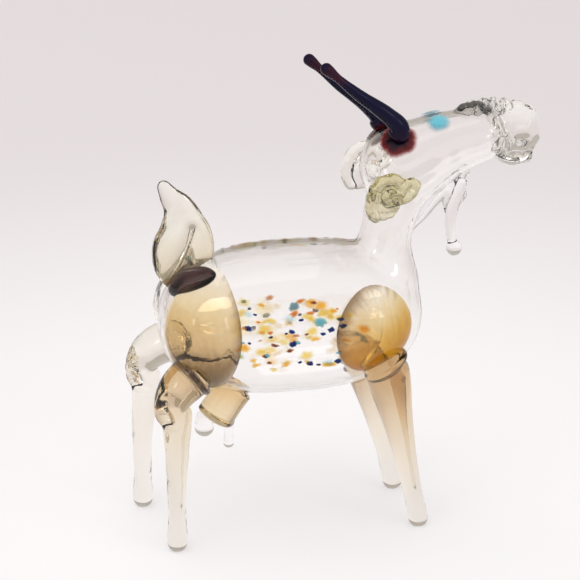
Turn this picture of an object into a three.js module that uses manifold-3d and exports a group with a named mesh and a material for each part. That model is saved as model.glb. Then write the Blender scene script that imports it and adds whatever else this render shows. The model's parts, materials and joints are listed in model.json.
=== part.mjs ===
// A lampworked glass goat, standing on four legs. Two blown bubbles make its body and head.
// Every other piece is a gather of hot glass, fused on from outside in the order used below.
// Millimetres. +X is the way the goat faces, +Y its left side, +Z up, and it stands on Z = 0.

import * as THREE from "three";
import { mergeVertices } from "three/addons/utils/BufferGeometryUtils.js";
import Module from "manifold-3d";

// Joins, and the wall of both bubbles
const JOIN_GAP = 0.3;
const BUBBLE_WALL = 1.2;

// Body bubble: a barrel along X whose middle is at X = 0
const BODY_LENGTH = 56.4;
const BODY_HEIGHT = 33.2;
const BODY_WIDTH = 29;
const BODY_AXIS_HEIGHT = 47.2;
const BODY_FULLNESS = 2.5;

// Neck: one tube, shared by the two bubbles and parted at the seam
const NECK_AHEAD = 0.369 * BODY_LENGTH;
const NECK_LEAN = 0.6;
const NECK_DIAMETER = 11;
const NECK_FLARE = 20;
const NECK_SEAM_RISE = 15.6;

// Head bubble: the skull, and the face that tapers from it to the muzzle
const SKULL_AHEAD = 4;
const SKULL_RISE = 16.5;
const SKULL_DIAMETER = 19.2;
const FACE_REACH = 20.3;
const FACE_LIFT = 6.2;
const FACE_ARCH = 1;
const CHEEK_DIAMETER = 16.4;
const FACE_END_DIAMETER = 11.6;
const HEAD_FLATNESS = 0.92;

// Muzzle: an upper lip with the nose, a lower lip under the mouth, and the bridge of the nose
const NOSE_LENGTH = 12;
const NOSE_WIDTH = 11.4;
const NOSE_DEPTH = 12.2;
const LIP_LENGTH = 9.4;
const LIP_WIDTH = 9.6;
const LIP_DEPTH = 5.8;
const LIP_DROP = 4.5;
const BRIDGE_LENGTH = 9;
const BRIDGE_DIAMETER = 2.8;

// Horns
const HORN_DIAMETER = 4.7;
const HORN_TIP_DIAMETER = 2.3;
const HORN_RISE = 17.2;
const HORN_REACH = 15.6;
const HORN_SPREAD = 10.4;
const HORN_SET_BACK = 3.3;
const HORN_STAND = 7.2;
const HORN_STAGGER = 1.9;
const HORN_ROOT_DIAMETER = 8.2;
const HORN_ROOT_DEPTH = 3.2;

// Ears
const EAR_LENGTH = 10.6;
const EAR_WIDTH = 8.4;
const EAR_THICKNESS = 4.2;
const EAR_SWEEP = 4.4;
const EAR_DROP = 1.4;
const EAR_SET_BACK = 2.6;
const EAR_CURL_DIAMETER = 5.6;
const EAR_CURL_REACH = 3;

// Eyes
const EYE_DIAMETER = 4.8;
const EYE_DEPTH = 2.4;
const EYE_AHEAD = 9.3;
const EYE_TURN = 28;

// Beard
const BEARD_LENGTH = 16.5;
const BEARD_WIDTH = 9;
const BEARD_THICKNESS = 4.4;
const BEARD_AHEAD = 8.6;
const BEARD_SWAY = 0.9;
const BEARD_NECK_DIAMETER = 2.2;
const BEARD_TIP_DIAMETER = 3.4;

// Tail
const TAIL_LENGTH = 20;
const TAIL_WIDTH = 13;
const TAIL_THICKNESS = 6.2;
const TAIL_SET_BACK = 0.394 * BODY_LENGTH;
const TAIL_LEAN = 5.2;
const TAIL_TIP_DIAMETER = 2.6;

// Haunches and hind legs. The hock and the foot are behind the middle of the haunch.
const HAUNCH_LENGTH = 15.6;
const HAUNCH_HEIGHT = 27;
const HAUNCH_THICKNESS = 14.6;
const HAUNCH_SET_BACK = 0.344 * BODY_LENGTH;
const HAUNCH_RISE = 2.5;
const HAUNCH_SET_IN = 2.6;
const HOCK_SET_BACK = 8.8;
const HOCK_HEIGHT = 33;
const HOCK_DIAMETER = 8.4;
const HOCK_STAGGER = 2.6;
const SHANK_DIAMETER = 5.6;
const ANKLE_DIAMETER = 4.1;
const HIND_FOOT_SET_BACK = 7.2;
const HIND_FOOT_STAGGER = 4.2;
const HIND_TRACK = 23.4;

// Shoulders and forelegs. The foot is ahead of the middle of the shoulder.
const SHOULDER_LENGTH = 11.8;
const SHOULDER_HEIGHT = 19;
const SHOULDER_THICKNESS = 13;
const SHOULDER_AHEAD = 0.324 * BODY_LENGTH;
const SHOULDER_DROP = 0.4;
const SHOULDER_STAGGER = 8.2;
const SHOULDER_SET_IN = 2.8;
const FOREARM_DIAMETER = 9.2;
const PASTERN_DIAMETER = 4;
const FORE_FOOT_REACH = 9.5;
const FORE_FOOT_STAGGER = 0.9;
const FORE_TRACK = 20;

// Feet, on all four legs
const FOOT_DIAMETER = 4.5;
const FOOT_FLAT = 2.4;

// Udder and teats
const UDDER_LENGTH = 13;
const UDDER_DIAMETER = 9;
const UDDER_SET_BACK = 0.223 * BODY_LENGTH;
const UDDER_LEAN = 3.4;
const REAR_TEAT_DIAMETER = 4.2;
const REAR_TEAT_LENGTH = 1.6;
const FRONT_TEAT_DIAMETER = 2.3;
const FRONT_TEAT_LENGTH = 4.8;
const TEAT_SPACING = 5.2;

// Chips of coloured glass, in a patch on each flank between the haunch and the shoulder
const CHIPS_ON_A_FLANK = 10;
const CHIP_DIAMETER = 2.4;
const CHIP_DEPTH = 1.9;
const CHIP_MARGIN = 2.4;
const CHIP_PATCH_HEIGHT = 0.45 * BODY_HEIGHT;
const CHIP_STAGGER = 0.21 * BODY_HEIGHT;

// Facets round each form, and along it
const BUBBLE_SIDES = 22;
const BUBBLE_STEPS = 12;
const GATHER_SIDES = 16;
const GATHER_STEPS = 10;
const ROD_SIDES = 10;
const ROD_STEPS = 13;
const DOT_SIDES = 8;
const DOT_STEPS = 5;
const WELD = 1e-4;

// Glass colours
const CLEAR = 0xf1eeee;
const SMOKE = 0xd9ccb4;
const AMBER = 0xc79748;
const OLIVE = 0xbdb090;
const VIOLET_NAVY = 0x171638;
const TURQUOISE = 0x5ebdcf;
const CHIP_COLOURS = [0xe8912d, 0x1c2f6b, 0xf0c454, 0x5ebdcf, 0x9a4a28, 0xf3e3bd, 0xe0762a];

const RIGHT = -1;
const LEFT = 1;
const ACROSS = new THREE.Vector3(0, 1, 0);
const UP = new THREE.Vector3(0, 0, 1);

const wasm = await Module();
wasm.setup();

const point = (x, y, z) => new THREE.Vector3(x, y, z);
const between = (a, b, share) => a + (b - a) * share;
const sideName = (side) => (side === RIGHT ? "right" : "left");

// The goat is made by eye, so some of its left side is staggered against its right.
const leftOnly = (side, stagger) => (side === LEFT ? stagger : 0);

// A closed three.js geometry as a solid that can be joined and cut.
function solid(geometry) {
  const bare = geometry.clone();
  bare.deleteAttribute("normal");
  bare.deleteAttribute("uv");
  const welded = mergeVertices(bare, WELD);
  const corners = welded.index.array;
  const triangles = [];
  for (let i = 0; i < corners.length; i += 3) {
    const [a, b, c] = corners.slice(i, i + 3);
    if (a !== b && b !== c && c !== a) {
      triangles.push(a, b, c);
    }
  }
  return new wasm.Manifold(new wasm.Mesh({
    numProp: 3,
    vertProperties: Float32Array.from(welded.attributes.position.array),
    triVerts: Uint32Array.from(triangles),
  }));
}

// A solid as a three.js geometry again.
function geometryOf(shape) {
  const mesh = shape.getMesh();
  const geometry = new THREE.BufferGeometry();
  const places = Float32Array.from(mesh.vertProperties);
  geometry.setAttribute("position", new THREE.BufferAttribute(places, 3));
  geometry.setIndex(Array.from(mesh.triVerts));
  geometry.computeVertexNormals();
  return geometry;
}

// Glass drawn out along a smooth curve through a route. The radii are spaced evenly along it, and both
// ends are rounded as surface tension leaves them. Flat is the thickness across Y for a width of 1.
class Drawn {
  constructor(route, radii, flat = 1) {
    const spacing = 1 / (radii.length - 1);
    this.curve = new THREE.CatmullRomCurve3(route);
    this.swell = new THREE.SplineCurve(radii.map((radius, i) => new THREE.Vector2(i * spacing, radius)));
    this.flat = flat;
  }

  radiusAt(share) {
    const radius = this.swell.getPoint(share).y;
    const fromEnd = Math.min(share, 1 - share) * this.curve.getLength();
    const cap = Math.min(1, fromEnd / radius);
    return radius * Math.sqrt(1 - (1 - cap) ** 2);
  }

  // The curve's place and directions: along it, over it and aside, which is near the goat's left.
  frameAt(share) {
    const along = this.curve.getTangentAt(share);
    const over = new THREE.Vector3().crossVectors(along, ACROSS).normalize();
    const aside = new THREE.Vector3().crossVectors(over, along);
    return { spot: this.curve.getPointAt(share), along, over, aside };
  }

  // A place on the surface, and which way it faces, at a turn from the top towards the goat's left.
  surfaceAt(share, turn) {
    const { spot, over, aside } = this.frameAt(share);
    const radius = this.radiusAt(share);
    const rise = Math.cos(turn);
    const out = Math.sin(turn);
    spot.addScaledVector(over, rise * radius).addScaledVector(aside, out * radius * this.flat);
    const normal = over.multiplyScalar(rise).addScaledVector(aside, out / this.flat).normalize();
    return { spot, normal };
  }

  // The form as a solid, grown all round by a distance.
  solid(grow, sides = ROD_SIDES, steps = ROD_STEPS) {
    const profile = [];
    for (let step = 0; step <= steps; step++) {
      const share = (1 - Math.cos((Math.PI * step) / steps)) / 2;
      const onAxis = step === 0 || step === steps;
      profile.push(new THREE.Vector2(onAxis ? 0 : this.radiusAt(share), share));
    }
    const geometry = new THREE.LatheGeometry(profile, sides);
    const places = geometry.attributes.position;
    for (let i = 0; i < places.count; i++) {
      const share = THREE.MathUtils.clamp(places.getY(i), 0, 1);
      const { spot, along, over, aside } = this.frameAt(share);
      const radial = new THREE.Vector2(places.getX(i), places.getZ(i));
      const outward = radial.clone().normalize().multiplyScalar(grow);
      const lengthen = { 0: -grow, 1: grow }[share] ?? 0;
      spot.addScaledVector(over, radial.x + outward.x);
      spot.addScaledVector(aside, radial.y * this.flat + outward.y);
      spot.addScaledVector(along, lengthen);
      places.setXYZ(i, spot.x, spot.y, spot.z);
    }
    return solid(geometry);
  }
}

// A rounded gather: an ellipsoid of the given full sizes, with its Z along a normal.
function gather(centre, size, grow, { normal = UP, sides = GATHER_SIDES, steps = GATHER_STEPS } = {}) {
  const geometry = new THREE.SphereGeometry(1, sides, steps);
  geometry.scale(size.x / 2 + grow, size.y / 2 + grow, size.z / 2 + grow);
  geometry.applyQuaternion(new THREE.Quaternion().setFromUnitVectors(UP, normal.clone().normalize()));
  geometry.translate(centre.x, centre.y, centre.z);
  return solid(geometry);
}

// Everything between two heights, to part the neck at its seam and to flatten the feet.
function slab(fromHeight, toHeight) {
  const reach = 2 * (BODY_LENGTH + FACE_REACH);
  const geometry = new THREE.BoxGeometry(reach, reach, toHeight - fromHeight);
  geometry.translate(0, 0, (fromHeight + toHeight) / 2);
  return solid(geometry);
}

// How full the barrel of the body is at a distance from its middle, from 1 down to 0 at its ends.
function barrelShare(x) {
  const reach = Math.abs(x) / (BODY_LENGTH / 2);
  return Math.max(0, 1 - reach ** BODY_FULLNESS) ** (1 / BODY_FULLNESS);
}

const barrelTop = (x) => BODY_AXIS_HEIGHT + (BODY_HEIGHT / 2) * barrelShare(x);
const barrelBottom = (x) => BODY_AXIS_HEIGHT - (BODY_HEIGHT / 2) * barrelShare(x);

// Half of the barrel's width, at a distance from its middle and a height over its axis.
function barrelSide(x, rise) {
  const share = barrelShare(x);
  const lift = Math.min(1, Math.abs(rise) / ((BODY_HEIGHT / 2) * share));
  return (BODY_WIDTH / 2) * share * Math.sqrt(1 - lift ** 2);
}

function barrel(grow) {
  const profile = [];
  for (let step = 0; step <= BUBBLE_STEPS; step++) {
    const turn = Math.PI * (step / BUBBLE_STEPS - 0.5);
    const onAxis = step === 0 || step === BUBBLE_STEPS;
    const full = onAxis ? 0 : Math.cos(turn) ** (2 / BODY_FULLNESS);
    const reach = Math.sign(turn) * Math.abs(Math.sin(turn)) ** (2 / BODY_FULLNESS);
    profile.push(new THREE.Vector2(full, reach));
  }
  const geometry = new THREE.LatheGeometry(profile, BUBBLE_SIDES);
  geometry.rotateZ(-Math.PI / 2);
  geometry.scale(BODY_LENGTH / 2 + grow, BODY_WIDTH / 2 + grow, BODY_HEIGHT / 2 + grow);
  geometry.translate(0, 0, BODY_AXIS_HEIGHT);
  return solid(geometry);
}

// What is already in place. Each new gather is cut back from it, and takes its shape where it is fused on.
const goat = new THREE.Group();
const placed = [];

const apart = (a, b) => [0, 1, 2].some((axis) => a.min[axis] > b.max[axis] || b.min[axis] > a.max[axis]);

function place(name, shape, envelope, material) {
  const mesh = new THREE.Mesh(geometryOf(shape), material);
  mesh.name = name;
  goat.add(mesh);
  placed.push(envelope);
}

// Fuses a gather on. Its form is a function of how much it is grown all round.
function fuse(name, form, material) {
  let piece = form(0);
  const room = piece.boundingBox();
  for (const envelope of placed) {
    if (!apart(room, envelope.boundingBox())) {
      piece = piece.subtract(envelope);
    }
  }
  const [largest] = piece.decompose().sort((a, b) => b.volume() - a.volume());
  place(name, largest, form(JOIN_GAP), material);
}

// Fuses on a right and a left gather of one form.
function fusePair(name, form, material) {
  for (const side of [RIGHT, LEFT]) {
    fuse(`${sideName(side)}_${name}`, (grow) => form(side, grow), material());
  }
}

function glass(color) {
  return new THREE.MeshStandardMaterial({
    color,
    roughness: 0.04,
    metalness: 0,
    transparent: true,
    opacity: 0.6,
  });
}

// Neck, from inside the barrel, through the seam, to inside the skull.
const seamHeight = BODY_AXIS_HEIGHT + NECK_SEAM_RISE;
const skull = point(NECK_AHEAD + SKULL_AHEAD, 0, seamHeight + SKULL_RISE);
const neckFoot = point(NECK_AHEAD - NECK_LEAN, 0, BODY_AXIS_HEIGHT);
const neckRadii = [NECK_FLARE, between(NECK_FLARE, NECK_DIAMETER, 0.45), NECK_DIAMETER, NECK_DIAMETER * 1.15,
  NECK_DIAMETER * 1.35].map((diameter) => diameter / 2);
const neck = new Drawn([neckFoot, point(NECK_AHEAD, 0, seamHeight), skull], neckRadii);

// Face, from the back of the skull to just past the joint with the muzzle.
const faceEnd = skull.clone().add(point(FACE_REACH, 0, FACE_LIFT));
const faceAlong = faceEnd.clone().sub(skull).normalize();
const faceOver = new THREE.Vector3().crossVectors(faceAlong, ACROSS);
const faceLine = faceEnd.distanceTo(skull);
const faceRoute = [
  skull.clone().addScaledVector(faceAlong, -SKULL_DIAMETER / 2),
  skull,
  skull.clone().addScaledVector(faceAlong, faceLine / 2).addScaledVector(faceOver, FACE_ARCH),
  faceEnd.clone().addScaledVector(faceAlong, FACE_END_DIAMETER / 5),
];
const faceRadii = [SKULL_DIAMETER, SKULL_DIAMETER, CHEEK_DIAMETER, FACE_END_DIAMETER * 1.16,
  FACE_END_DIAMETER].map((diameter) => diameter / 2);
const face = new Drawn(faceRoute, faceRadii, HEAD_FLATNESS);

// The share of the face's curve that lies a distance ahead of the skull's middle.
const faceShare = (ahead) => (SKULL_DIAMETER / 2 + ahead) / face.curve.getLength();

// Body and head bubbles, hollow, with the bore of the neck right through the seam between them.
const blown = (form, grow) => form.solid(grow, BUBBLE_SIDES, BUBBLE_STEPS);
const aboveSeam = slab(seamHeight - JOIN_GAP / 2, 2 * skull.z);
const belowSeam = slab(-seamHeight, seamHeight + JOIN_GAP / 2);
const neckBore = blown(neck, -BUBBLE_WALL);

const bodyForm = (grow) => barrel(grow).add(blown(neck, grow).subtract(aboveSeam));
const bodyShell = bodyForm(0).subtract(barrel(-BUBBLE_WALL)).subtract(neckBore);
place("body_bubble", bodyShell, bodyForm(JOIN_GAP), glass(CLEAR));

const headForm = (grow) => blown(face, grow).add(blown(neck, grow)).subtract(belowSeam);
const headShell = headForm(0).subtract(blown(face, -BUBBLE_WALL)).subtract(neckBore);
place("head_bubble", headShell.subtract(bodyForm(JOIN_GAP)), headForm(JOIN_GAP), glass(CLEAR));

// Haunches, one on each side of the rump.
function haunchCentre(side) {
  const out = barrelSide(HAUNCH_SET_BACK, HAUNCH_RISE) - HAUNCH_SET_IN;
  return point(-HAUNCH_SET_BACK, side * out, BODY_AXIS_HEIGHT + HAUNCH_RISE);
}

function haunch(side, grow) {
  return gather(haunchCentre(side), point(HAUNCH_LENGTH, HAUNCH_THICKNESS, HAUNCH_HEIGHT), grow);
}

fusePair("haunch", haunch, () => glass(AMBER));

// Shoulders, one on each side of the chest. The left one sits lower.
function shoulderCentre(side) {
  const drop = SHOULDER_DROP + leftOnly(side, SHOULDER_STAGGER);
  const out = barrelSide(SHOULDER_AHEAD, drop) - SHOULDER_SET_IN;
  return point(SHOULDER_AHEAD, side * out, BODY_AXIS_HEIGHT - drop);
}

function shoulder(side, grow) {
  return gather(shoulderCentre(side), point(SHOULDER_LENGTH, SHOULDER_THICKNESS, SHOULDER_HEIGHT), grow);
}

fusePair("shoulder", shoulder, () => glass(AMBER));

// A leg ends in a ball whose underside is flat where it stands.
const footRadius = FOOT_DIAMETER / 2;
const footSink = footRadius - Math.sqrt(footRadius ** 2 - (FOOT_FLAT / 2) ** 2);
const standing = (leg) => leg.subtract(slab(-BODY_AXIS_HEIGHT, 0));

// Hind legs: out of the haunch, back to the hock, and down the shank to the foot.
const THIGH_START = 0.34;
const HOCK_OUT = 0.8;

function hindLeg(side, grow) {
  const top = haunchCentre(side);
  const hockX = top.x - HOCK_SET_BACK - leftOnly(side, HOCK_STAGGER);
  const footX = top.x - HIND_FOOT_SET_BACK - leftOnly(side, HIND_FOOT_STAGGER);
  const footY = (side * HIND_TRACK) / 2;
  const hockY = between(top.y, footY, HOCK_OUT);
  const route = [
    top.clone().addScaledVector(UP, -THIGH_START * HAUNCH_HEIGHT),
    point(hockX, hockY, HOCK_HEIGHT + HOCK_DIAMETER / 10),
    point(between(hockX, footX, 0.2), hockY, HOCK_HEIGHT - HOCK_DIAMETER * 0.6),
    point(footX, footY, -footSink),
  ];
  const diameters = [HOCK_DIAMETER, HOCK_DIAMETER, HOCK_DIAMETER * 0.9, SHANK_DIAMETER,
    between(SHANK_DIAMETER, ANKLE_DIAMETER, 0.4), ANKLE_DIAMETER, ANKLE_DIAMETER, FOOT_DIAMETER];
  return standing(new Drawn(route, diameters.map((diameter) => diameter / 2)).solid(grow));
}

fusePair("hind_leg", hindLeg, () => glass(SMOKE));

// Forelegs: straight tapers out of the shoulder, leaning ahead to the foot.
const FORELEG_START = point(-0.07, 0, -0.16);
const FORELEG_TAPER = [0, 0, 0.4, 0.65, 0.85, 1];

function foreleg(side, grow) {
  const top = shoulderCentre(side);
  top.x += FORELEG_START.x * SHOULDER_LENGTH;
  top.z += FORELEG_START.z * SHOULDER_HEIGHT;
  const footX = SHOULDER_AHEAD + FORE_FOOT_REACH - leftOnly(side, FORE_FOOT_STAGGER);
  const foot = point(footX, (side * FORE_TRACK) / 2, -footSink);
  const route = [top, top.clone().lerp(foot, 0.5), foot];
  const taper = FORELEG_TAPER.map((share) => between(FOREARM_DIAMETER, PASTERN_DIAMETER, share) / 2);
  return standing(new Drawn(route, [...taper, footRadius]).solid(grow));
}

fusePair("foreleg", foreleg, () => glass(SMOKE));

// Tail: a flame-shaped leaf that stands on the rump and bends back at its tip.
const TAIL_OUTLINE = [0.8, 0.92, 1, 0.84, 0.54];
const TAIL_TIP_OUTLINE = [1.4, 1];
const TAIL_BEND = [[-0.2, -0.1], [0.3, 0], [0.62, 0.06], [0.83, 0.46], [1, 1]];

function tail(grow) {
  const root = point(-TAIL_SET_BACK, 0, barrelTop(TAIL_SET_BACK));
  const route = TAIL_BEND.map(([rise, lean]) => {
    return root.clone().add(point(-TAIL_LEAN * lean, 0, TAIL_LENGTH * rise));
  });
  const leaf = TAIL_OUTLINE.map((share) => (share * TAIL_WIDTH) / 2);
  const tip = TAIL_TIP_OUTLINE.map((share) => (share * TAIL_TIP_DIAMETER) / 2);
  return new Drawn(route, [...leaf, ...tip], TAIL_THICKNESS / TAIL_WIDTH).solid(grow);
}

fuse("tail", tail, glass(SMOKE));

// Udder: a pouch that starts inside the belly line and hangs under it, a little wider at its end.
const UDDER_START = 0.3;
const UDDER_OUTLINE = [0.9, 1, 1.05];
const udderTop = point(-UDDER_SET_BACK, 0, barrelBottom(UDDER_SET_BACK) + UDDER_LENGTH * UDDER_START);
const udderEnd = udderTop.clone().add(point(-UDDER_LEAN, 0, -UDDER_LENGTH));

function udder(grow) {
  const route = [udderTop, udderTop.clone().lerp(udderEnd, 0.5), udderEnd];
  const radii = UDDER_OUTLINE.map((share) => (share * UDDER_DIAMETER) / 2);
  return new Drawn(route, radii).solid(grow);
}

fuse("udder", udder, glass(AMBER));

// Teats: one short and round at the rear, one drawn out in front, each rooted inside the udder.
const TEAT_ROOT = 0.25;
const TEAT_OUTLINE = [1, 1, 0.8, 1];

function teat(ahead, diameter, length, grow) {
  const root = udderEnd.clone().add(point(ahead, 0, UDDER_DIAMETER * TEAT_ROOT));
  const end = udderEnd.clone().add(point(ahead, 0, -length));
  const route = [root, root.clone().lerp(end, 0.5), end];
  return new Drawn(route, TEAT_OUTLINE.map((share) => (share * diameter) / 2)).solid(grow, DOT_SIDES);
}

const rearTeat = (grow) => teat(-TEAT_SPACING / 2, REAR_TEAT_DIAMETER, REAR_TEAT_LENGTH, grow);
const frontTeat = (grow) => teat(TEAT_SPACING / 2, FRONT_TEAT_DIAMETER, FRONT_TEAT_LENGTH, grow);
fuse("rear_teat", rearTeat, glass(SMOKE));
fuse("front_teat", frontTeat, glass(SMOKE));

// Muzzle: the upper lip and nose, the lower lip, and glass drawn back along the bridge of the nose.
const NOSE_OVERHANG = 0.28;
const BRIDGE_OUTLINE = [1.2, 1.1, 1, 0.7];

function muzzle(grow) {
  const nose = faceEnd.clone().add(point(NOSE_LENGTH * NOSE_OVERHANG, 0, 0));
  const lip = nose.clone().addScaledVector(UP, -LIP_DROP);
  const upper = gather(nose, point(NOSE_LENGTH, NOSE_WIDTH, NOSE_DEPTH), grow);
  const lower = gather(lip, point(LIP_LENGTH, LIP_WIDTH, LIP_DEPTH), grow);
  const bridgeRoute = [0.5, 1].map((share) => {
    return face.surfaceAt(faceShare(faceLine - BRIDGE_LENGTH * share), 0).spot;
  });
  bridgeRoute.unshift(nose.clone().addScaledVector(UP, (NOSE_DEPTH - BRIDGE_DIAMETER) / 2));
  const bridgeRadii = BRIDGE_OUTLINE.map((share) => (share * BRIDGE_DIAMETER) / 2);
  return upper.add(lower).add(new Drawn(bridgeRoute, bridgeRadii).solid(grow));
}

fuse("muzzle", muzzle, glass(CLEAR));

// Horns: rods with a spread root on the skull, rising and leaning back to a ball tip.
const HORN_OUTLINE = [1, 1, 0.95, 0.88];
const HORN_ROOT_START = -0.3;
const HORN_ROOT_STAND = 0.12;

function horn(side, grow) {
  const out = (side * HORN_SPREAD) / 2;
  const back = HORN_SET_BACK + leftOnly(side, HORN_STAGGER);
  const toRoot = point(-back, out, HORN_STAND);
  const normal = toRoot.clone();
  toRoot.multiplyScalar(SKULL_DIAMETER / 2 / point(toRoot.x, out / HEAD_FLATNESS, toRoot.z).length());
  const root = skull.clone().add(toRoot);
  const tip = root.clone().add(point(-HORN_REACH, 0, HORN_RISE));
  const route = [
    root.clone().addScaledVector(toRoot, HORN_ROOT_START),
    root.clone().addScaledVector(toRoot, HORN_ROOT_STAND),
    root.clone().lerp(tip, 0.5),
    tip,
  ];
  const rod = HORN_OUTLINE.map((share) => (share * HORN_DIAMETER) / 2);
  const taper = between(HORN_DIAMETER, HORN_TIP_DIAMETER, 0.5) / 2;
  const radii = [...rod, taper, HORN_TIP_DIAMETER / 2, HORN_TIP_DIAMETER / 2];
  const spreadSize = point(HORN_ROOT_DIAMETER, HORN_ROOT_DIAMETER, HORN_ROOT_DEPTH);
  return new Drawn(route, radii).solid(grow).add(gather(root, spreadSize, grow, { normal }));
}

fusePair("horn", horn, () => glass(VIOLET_NAVY));

// Ears: leaves that hang behind and beside the skull, with the front edge curled into a second lobe.
const EAR_OUTLINE = [0.7, 1, 1, 0.7];
const EAR_ROOT_DEPTH = 0.9;
const EAR_CURL_OUTLINE = [0.8, 0.9, 1];
const EAR_CURL_FLATNESS = 0.8;

function ear(side, grow) {
  const out = (SKULL_DIAMETER / 2) * HEAD_FLATNESS * EAR_ROOT_DEPTH;
  const root = skull.clone().add(point(-EAR_SET_BACK, side * out, -EAR_DROP));
  const hang = (sweep, lift, fall) => root.clone().add(point(
    -EAR_SWEEP * sweep,
    side * EAR_THICKNESS * lift,
    -EAR_LENGTH * fall,
  ));
  const leafRoute = [hang(-0.3, 0, -0.1), hang(0.5, 0.5, 0.06), hang(1, 0.7, 0.42), hang(1.3, 0.4, 0.84)];
  const leafRadii = EAR_OUTLINE.map((share) => (share * EAR_WIDTH) / 2);
  const leaf = new Drawn(leafRoute, leafRadii, EAR_THICKNESS / EAR_WIDTH).solid(grow);
  const curlStart = hang(0.2, 0.35, 0);
  const curlEnd = hang(0, 0.4, 0).add(point(EAR_CURL_REACH, 0, 0));
  const curlRadii = EAR_CURL_OUTLINE.map((share) => (share * EAR_CURL_DIAMETER) / 2);
  const curlRoute = [curlStart, curlStart.clone().lerp(curlEnd, 0.5), curlEnd];
  return leaf.add(new Drawn(curlRoute, curlRadii, EAR_CURL_FLATNESS).solid(grow));
}

fusePair("ear", ear, () => glass(OLIVE));

// Eyes: dots melted on to the upper sides of the face.
function eye(side, grow) {
  const turn = THREE.MathUtils.degToRad(side * EYE_TURN);
  const { spot, normal } = face.surfaceAt(faceShare(EYE_AHEAD), turn);
  const size = point(EYE_DIAMETER, EYE_DIAMETER, EYE_DEPTH);
  return gather(spot, size, grow, { normal, sides: ROD_SIDES, steps: DOT_STEPS });
}

fusePair("eye", eye, () => glass(TURQUOISE));

// Beard: a clear drip from under the jaw, wide where it is fused on and drawn out to a ball.
const BEARD_BEND = [[-0.16, 0.7], [0.2, -0.9], [0.6, 0], [1, 1]];
const BEARD_OUTLINE = [1, 0.85, 0.45];

function beard(grow) {
  const root = face.surfaceAt(faceShare(BEARD_AHEAD), Math.PI).spot;
  const route = BEARD_BEND.map(([fall, sway]) => {
    return root.clone().add(point(BEARD_SWAY * sway, 0, -BEARD_LENGTH * fall));
  });
  const sheet = BEARD_OUTLINE.map((share) => (share * BEARD_WIDTH) / 2);
  const radii = [...sheet, BEARD_NECK_DIAMETER / 2, BEARD_NECK_DIAMETER / 2, BEARD_NECK_DIAMETER / 2];
  const drip = new Drawn(route, radii, BEARD_THICKNESS / BEARD_WIDTH).solid(grow);
  const ballSize = point(BEARD_TIP_DIAMETER, BEARD_TIP_DIAMETER, BEARD_TIP_DIAMETER);
  const ballCentre = route.at(-1).clone().addScaledVector(UP, BEARD_TIP_DIAMETER / 3);
  return drip.add(gather(ballCentre, ballSize, grow, { sides: DOT_SIDES, steps: DOT_STEPS }));
}

fuse("beard", beard, glass(CLEAR));

// Chips, spread over an oval patch of each flank with a constant turn from one to the next.
const GOLDEN_TURN = Math.PI * (3 - Math.sqrt(5));
const patchRear = -HAUNCH_SET_BACK + HAUNCH_LENGTH / 2 + CHIP_MARGIN;
const patchFront = SHOULDER_AHEAD - SHOULDER_LENGTH / 2 - CHIP_MARGIN;

function chip(side, number, grow) {
  const turn = number * GOLDEN_TURN;
  const reach = Math.sqrt((number + 0.5) / CHIPS_ON_A_FLANK);
  const x = between(patchRear, patchFront, (1 + Math.cos(turn) * reach) / 2);
  const rise = (Math.sin(turn) * reach * CHIP_PATCH_HEIGHT) / 2 - leftOnly(side, CHIP_STAGGER);
  const out = side * barrelSide(x, rise);
  const normal = point(0, out / BODY_WIDTH ** 2, rise / BODY_HEIGHT ** 2);
  const spot = point(x, out, BODY_AXIS_HEIGHT + rise);
  const size = point(CHIP_DIAMETER, CHIP_DIAMETER, CHIP_DEPTH);
  return gather(spot, size, grow, { normal, sides: DOT_SIDES, steps: DOT_STEPS });
}

for (let number = 0; number < CHIPS_ON_A_FLANK; number++) {
  const colour = CHIP_COLOURS[number % CHIP_COLOURS.length];
  fusePair(`chip_${number + 1}`, (side, grow) => chip(side, number, grow), () => glass(colour));
}

// The origin is under the middle of the goat, on the surface that it stands on.
const extent = new THREE.Box3().setFromObject(goat);
const middle = extent.getCenter(new THREE.Vector3());
goat.position.set(-middle.x, -middle.y, 0);

export default goat;
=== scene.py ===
import bisect
import itertools
import json
import math
import random

import bmesh
import bpy
from mathutils import Matrix, Vector, noise
from mathutils.bvhtree import BVHTree
from mathutils.geometry import interpolate_bezier


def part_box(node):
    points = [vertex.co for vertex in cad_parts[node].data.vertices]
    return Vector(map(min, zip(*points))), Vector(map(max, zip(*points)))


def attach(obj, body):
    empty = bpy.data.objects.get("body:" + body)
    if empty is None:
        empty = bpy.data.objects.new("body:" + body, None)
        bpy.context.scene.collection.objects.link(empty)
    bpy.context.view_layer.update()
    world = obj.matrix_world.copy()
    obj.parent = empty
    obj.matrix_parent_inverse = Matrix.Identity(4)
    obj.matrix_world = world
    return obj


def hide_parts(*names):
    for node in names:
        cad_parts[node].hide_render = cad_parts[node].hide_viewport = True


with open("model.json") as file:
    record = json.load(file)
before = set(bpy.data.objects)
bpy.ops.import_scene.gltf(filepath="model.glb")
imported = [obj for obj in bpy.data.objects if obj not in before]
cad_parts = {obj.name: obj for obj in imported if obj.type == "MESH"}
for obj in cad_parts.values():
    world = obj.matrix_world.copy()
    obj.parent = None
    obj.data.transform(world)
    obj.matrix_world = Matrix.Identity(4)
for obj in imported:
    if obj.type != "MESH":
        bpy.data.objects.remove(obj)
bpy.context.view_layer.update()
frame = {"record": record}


# The body and head are one bubble of clear glass, blown from tube and pinched at the neck while soft.
# Its wall is just under a millimetre thick, and both faces are fire-polished. Seen along the wall, the
# glass has a faint amber cast.
MM = 0.001
ACROSS = Vector((0, 1, 0))
UP = Vector((0, 0, 1))
SKIN_WALL = 0.9 * MM
SKIN_GRAIN = 0.5 * MM
SKIN_FLOW = 30
BARREL_FULLNESS = 2.5
FACE_FLATNESS = 0.92
GLASS_INDEX = 1.5
POLISHED_SKIN = 0.35
SWIRL = 2 * MM
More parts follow.
